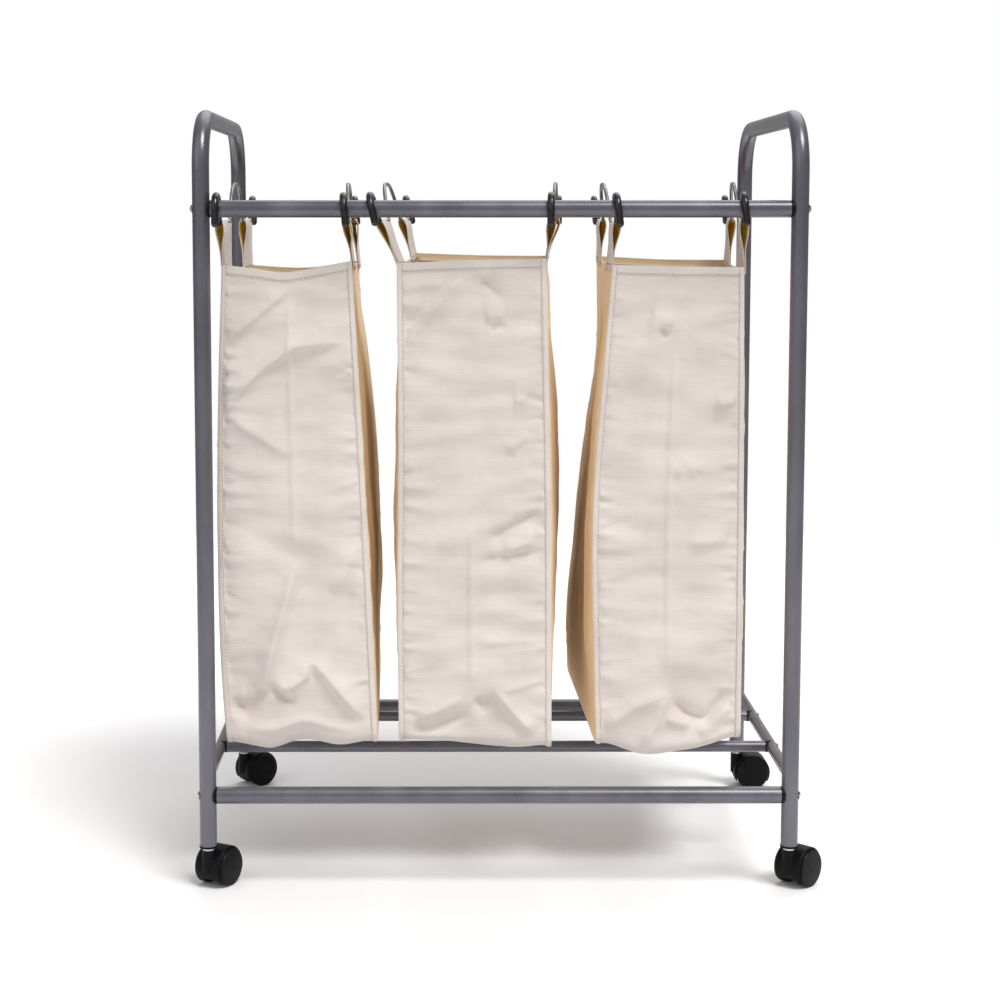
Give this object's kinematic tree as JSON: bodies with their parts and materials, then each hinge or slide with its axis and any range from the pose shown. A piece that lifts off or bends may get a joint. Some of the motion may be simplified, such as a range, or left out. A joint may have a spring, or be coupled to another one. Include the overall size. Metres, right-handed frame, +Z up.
{
  "type": "rolling laundry sorter",
  "caption": "Rolling laundry sorter: tube frame on swivel casters with side-by-side canvas bags hung from lift-off wire hangers.",
  "frame": {"origin": "on the floor, at the middle of the footprint with the casters parked as stored", "axes": "+Z up, +X to the right along the rails, +Y from the front of the sorter to its rear"},
  "size_m": [0.6765, 0.4253, 0.827],
  "materials": {
    "frame_paint": "satin silver-grey powder coat",
    "zinc_steel": "zinc-plated",
    "black_plastic": "matt moulded polypropylene",
    "caster_nylon": "semi-gloss moulded nylon",
    "hanger_wire": "nickel-plated wire",
    "hook_vinyl": "dipped vinyl",
    "canvas": "natural cotton-blend canvas"
  },
  "bodies": {
    "frame": {"bottom_rail_front": "frame_paint", "bottom_rail_rear": "frame_paint", "caster_sockets": "black_plastic", "rail_bolts": "zinc_steel", "rail_end_inserts": "black_plastic", "rail_saddle_washers": "black_plastic", "rod_end_plugs": "black_plastic", "rod_screws": "zinc_steel", "side_bar_left": "frame_paint", "side_bar_right": "frame_paint", "side_frame_left": "frame_paint", "side_frame_right": "frame_paint", "support_rod_front": "frame_paint", "support_rod_rear": "frame_paint", "top_rail_front": "frame_paint", "top_rail_rear": "frame_paint"},
    "caster_front_left_swivel": {"caster_front_left_hood": "caster_nylon", "caster_front_left_stem": "zinc_steel", "caster_front_left_axle": "zinc_steel"},
    "caster_front_left_wheel_a_body": {"caster_front_left_wheel_a": "caster_nylon"},
    "caster_front_left_wheel_b_body": {"caster_front_left_wheel_b": "caster_nylon"},
    "caster_front_right_swivel": {"caster_front_right_hood": "caster_nylon", "caster_front_right_stem": "zinc_steel", "caster_front_right_axle": "zinc_steel"},
    "caster_front_right_wheel_a_body": {"caster_front_right_wheel_a": "caster_nylon"},
    "caster_front_right_wheel_b_body": {"caster_front_right_wheel_b": "caster_nylon"},
    "caster_rear_left_swivel": {"caster_rear_left_hood": "caster_nylon", "caster_rear_left_stem": "zinc_steel", "caster_rear_left_axle": "zinc_steel"},
    "caster_rear_left_wheel_a_body": {"caster_rear_left_wheel_a": "caster_nylon"},
    "caster_rear_left_wheel_b_body": {"caster_rear_left_wheel_b": "caster_nylon"},
    "caster_rear_right_swivel": {"caster_rear_right_hood": "caster_nylon", "caster_rear_right_stem": "zinc_steel", "caster_rear_right_axle": "zinc_steel"},
    "caster_rear_right_wheel_a_body": {"caster_rear_right_wheel_a": "caster_nylon"},
    "caster_rear_right_wheel_b_body": {"caster_rear_right_wheel_b": "caster_nylon"},
    "bag_1": {"bag_1_casings": "canvas", "bag_1_hanger_left": "hanger_wire", "bag_1_hanger_right": "hanger_wire", "bag_1_hook_sleeves": "hook_vinyl", "bag_1_side_left": "canvas", "bag_1_side_right": "canvas", "bag_1_wrap": "canvas"},
    "bag_2": {"bag_2_casings": "canvas", "bag_2_hanger_left": "hanger_wire", "bag_2_hanger_right": "hanger_wire", "bag_2_hook_sleeves": "hook_vinyl", "bag_2_side_left": "canvas", "bag_2_side_right": "canvas", "bag_2_wrap": "canvas"},
    "bag_3": {"bag_3_casings": "canvas", "bag_3_hanger_left": "hanger_wire", "bag_3_hanger_right": "hanger_wire", "bag_3_hook_sleeves": "hook_vinyl", "bag_3_side_left": "canvas", "bag_3_side_right": "canvas", "bag_3_wrap": "canvas"}
  },
  "joints": [
    {"name": "swivel_front_left", "type": "hinge", "parent": "frame", "child": "caster_front_left_swivel", "pos_m": [-0.3223, -0.1948, 0.047], "axis": [0, 0, 1], "continuous": true},
    {"name": "roll_front_left_a", "type": "hinge", "parent": "caster_front_left_swivel", "child": "caster_front_left_wheel_a_body", "pos_m": [-0.31357, -0.17906, 0.02], "axis": [-0.8746, 0.4848, 0], "continuous": true},
    {"name": "roll_front_left_b", "type": "hinge", "parent": "caster_front_left_swivel", "child": "caster_front_left_wheel_b_body", "pos_m": [-0.31357, -0.17906, 0.02], "axis": [-0.8746, 0.4848, 0], "continuous": true},
    {"name": "swivel_front_right", "type": "hinge", "parent": "frame", "child": "caster_front_right_swivel", "pos_m": [0.2977, -0.1948, 0.047], "axis": [0, 0, 1], "continuous": true},
    {"name": "roll_front_right_a", "type": "hinge", "parent": "caster_front_right_swivel", "child": "caster_front_right_wheel_a_body", "pos_m": [0.30998, -0.18164, 0.02], "axis": [-0.7314, 0.682, 0], "continuous": true},
    {"name": "roll_front_right_b", "type": "hinge", "parent": "caster_front_right_swivel", "child": "caster_front_right_wheel_b_body", "pos_m": [0.30998, -0.18164, 0.02], "axis": [-0.7314, 0.682, 0], "continuous": true},
    {"name": "swivel_rear_left", "type": "hinge", "parent": "frame", "child": "caster_rear_left_swivel", "pos_m": [-0.3223, 0.1752, 0.047], "axis": [0, 0, 1], "continuous": true},
    {"name": "roll_rear_left_a", "type": "hinge", "parent": "caster_rear_left_swivel", "child": "caster_rear_left_wheel_a_body", "pos_m": [-0.30851, 0.18677, 0.02], "axis": [-0.6428, 0.766, 0], "continuous": true},
    {"name": "roll_rear_left_b", "type": "hinge", "parent": "caster_rear_left_swivel", "child": "caster_rear_left_wheel_b_body", "pos_m": [-0.30851, 0.18677, 0.02], "axis": [-0.6428, 0.766, 0], "continuous": true},
    {"name": "swivel_rear_right", "type": "hinge", "parent": "frame", "child": "caster_rear_right_swivel", "pos_m": [0.2977, 0.1752, 0.047], "axis": [0, 0, 1], "continuous": true},
    {"name": "roll_rear_right_a", "type": "hinge", "parent": "caster_rear_right_swivel", "child": "caster_rear_right_wheel_a_body", "pos_m": [0.3157, 0.1752, 0.02], "axis": [0, 1, 0], "continuous": true},
    {"name": "roll_rear_right_b", "type": "hinge", "parent": "caster_rear_right_swivel", "child": "caster_rear_right_wheel_b_body", "pos_m": [0.3157, 0.1752, 0.02], "axis": [0, 1, 0], "continuous": true},
    {"name": "lift_bag_1", "type": "slide", "parent": "frame", "child": "bag_1", "axis": [0, 0, 1], "range_m": [0, 0.6]},
    {"name": "lift_bag_2", "type": "slide", "parent": "frame", "child": "bag_2", "axis": [0, 0, 1], "range_m": [0, 0.6]},
    {"name": "lift_bag_3", "type": "slide", "parent": "frame", "child": "bag_3", "axis": [0, 0, 1], "range_m": [0, 0.6]}
  ]
}
